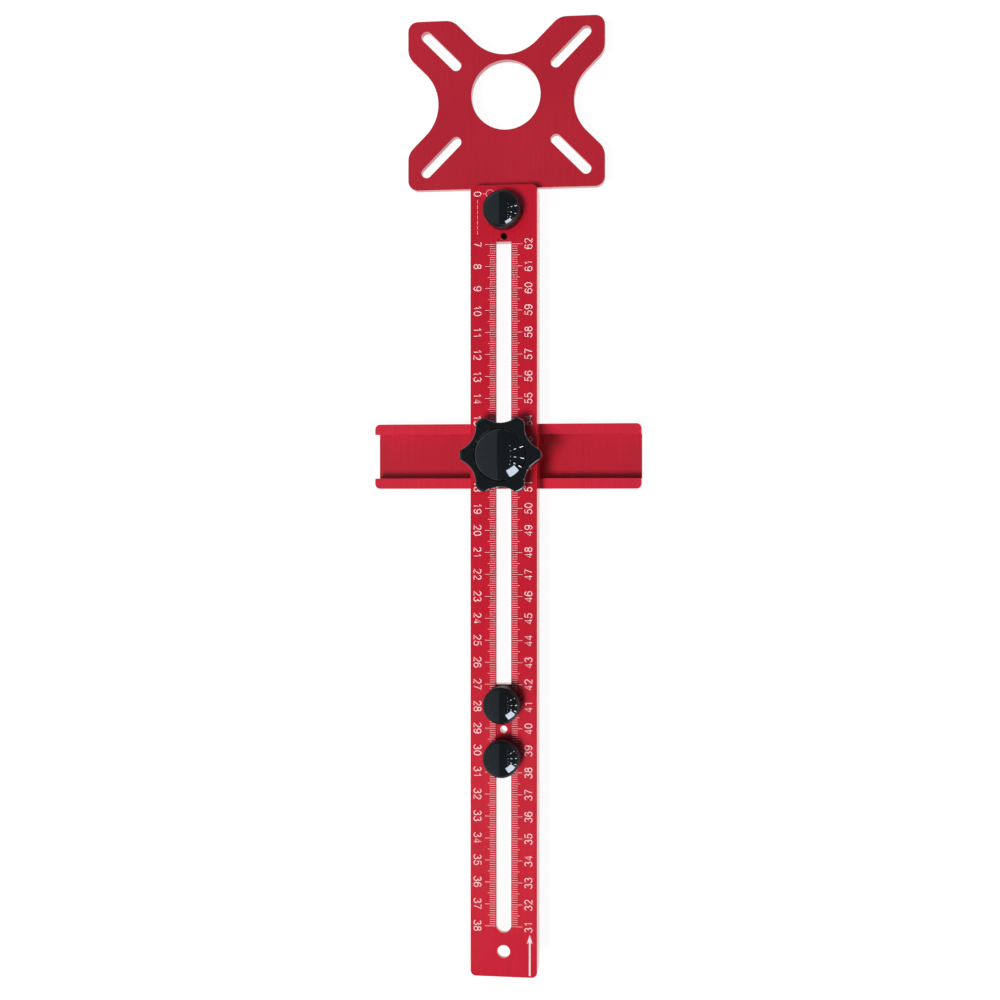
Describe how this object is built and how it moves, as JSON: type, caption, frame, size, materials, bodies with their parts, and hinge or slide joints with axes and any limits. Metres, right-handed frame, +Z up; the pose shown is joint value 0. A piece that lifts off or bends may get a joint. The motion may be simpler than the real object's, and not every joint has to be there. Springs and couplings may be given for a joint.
{
  "type": "router circle cutting jig",
  "caption": "Graduated slotted channel bar that carries a router plate at one end, with a clamped pivot slider and a clamped edge fence, for routing circles and arcs.",
  "frame": {"origin": "cutter axis on the sole plane, the underside of the router plate", "axes": "+Z up towards the router, -Y along the bar away from the router plate, +X to the right in the picture"},
  "size_m": [0.124, 0.438, 0.045],
  "materials": {
    "red_anodised": "red anodised, satin, finely brushed",
    "black_plastic": "black, moulded, glossy",
    "zinc_steel": "zinc plated, machined",
    "insert_brass": "turned"
  },
  "bodies": {
    "frame": {"ruler_bar": "red_anodised", "router_plate": "red_anodised", "connector_block": "red_anodised", "connector_screws": "zinc_steel"},
    "plate_stud": {"plate_stud": "zinc_steel"},
    "plate_knob": {"plate_knob": "black_plastic"},
    "slider": {"slider_block": "red_anodised"},
    "upper_slider_stud": {"upper_slider_stud": "zinc_steel"},
    "upper_slider_knob": {"upper_slider_knob": "black_plastic"},
    "lower_slider_stud": {"lower_slider_stud": "zinc_steel"},
    "lower_slider_knob": {"lower_slider_knob": "black_plastic"},
    "fence_carriage": {"star_washer": "zinc_steel"},
    "fence": {"fence_channel": "red_anodised", "fence_screw": "zinc_steel", "fence_lock_washer": "zinc_steel", "fence_nut": "zinc_steel"},
    "star_insert": {"star_knob_insert": "insert_brass"},
    "star_knob": {"star_knob": "black_plastic", "star_knob_cap": "black_plastic"}
  },
  "joints": [
    {"name": "slider_slide", "type": "slide", "parent": "frame", "child": "slider", "axis": [0, 1, 0], "range_m": [-0.068, 0.045]},
    {"name": "fence_slide", "type": "slide", "parent": "frame", "child": "fence_carriage", "axis": [0, 1, 0], "range_m": [-0.038, 0.08]},
    {"name": "fence_swivel", "type": "hinge", "parent": "fence_carriage", "child": "fence", "pos_m": [0, -0.166, 0], "axis": [0, 0, 1], "continuous": true},
    {"name": "plate_knob_turn", "type": "hinge", "parent": "plate_stud", "child": "plate_knob", "pos_m": [0, -0.05575, 0.012], "axis": [0, 0, 1], "range_deg": [0, 1080]},
    {"name": "plate_stud_lift", "type": "slide", "parent": "frame", "child": "plate_stud", "axis": [0, 0, 1], "range_m": [0, 0.0024]},
    {"name": "upper_slider_knob_turn", "type": "hinge", "parent": "upper_slider_stud", "child": "upper_slider_knob", "pos_m": [0, -0.2784, 0.012], "axis": [0, 0, 1], "range_deg": [0, 1080]},
    {"name": "upper_slider_stud_lift", "type": "slide", "parent": "slider", "child": "upper_slider_stud", "axis": [0, 0, 1], "range_m": [0, 0.0024]},
    {"name": "lower_slider_knob_turn", "type": "hinge", "parent": "lower_slider_stud", "child": "lower_slider_knob", "pos_m": [0, -0.3024, 0.012], "axis": [0, 0, 1], "range_deg": [0, 1080]},
    {"name": "lower_slider_stud_lift", "type": "slide", "parent": "slider", "child": "lower_slider_stud", "axis": [0, 0, 1], "range_m": [0, 0.0024]},
    {"name": "star_knob_turn", "type": "hinge", "parent": "star_insert", "child": "star_knob", "pos_m": [0, -0.166, 0.02], "axis": [0, 0, 1], "range_deg": [0, 1080]},
    {"name": "star_insert_lift", "type": "slide", "parent": "fence", "child": "star_insert", "axis": [0, 0, 1], "range_m": [0, 0.003]}
  ],
  "couplings": [
    {"joint": "plate_stud_lift", "follows": "plate_knob_turn", "m_per_rad": 0.00012732},
    {"joint": "upper_slider_stud_lift", "follows": "upper_slider_knob_turn", "m_per_rad": 0.00012732},
    {"joint": "lower_slider_stud_lift", "follows": "lower_slider_knob_turn", "m_per_rad": 0.00012732},
    {"joint": "star_insert_lift", "follows": "star_knob_turn", "m_per_rad": 0.00015915}
  ]
}
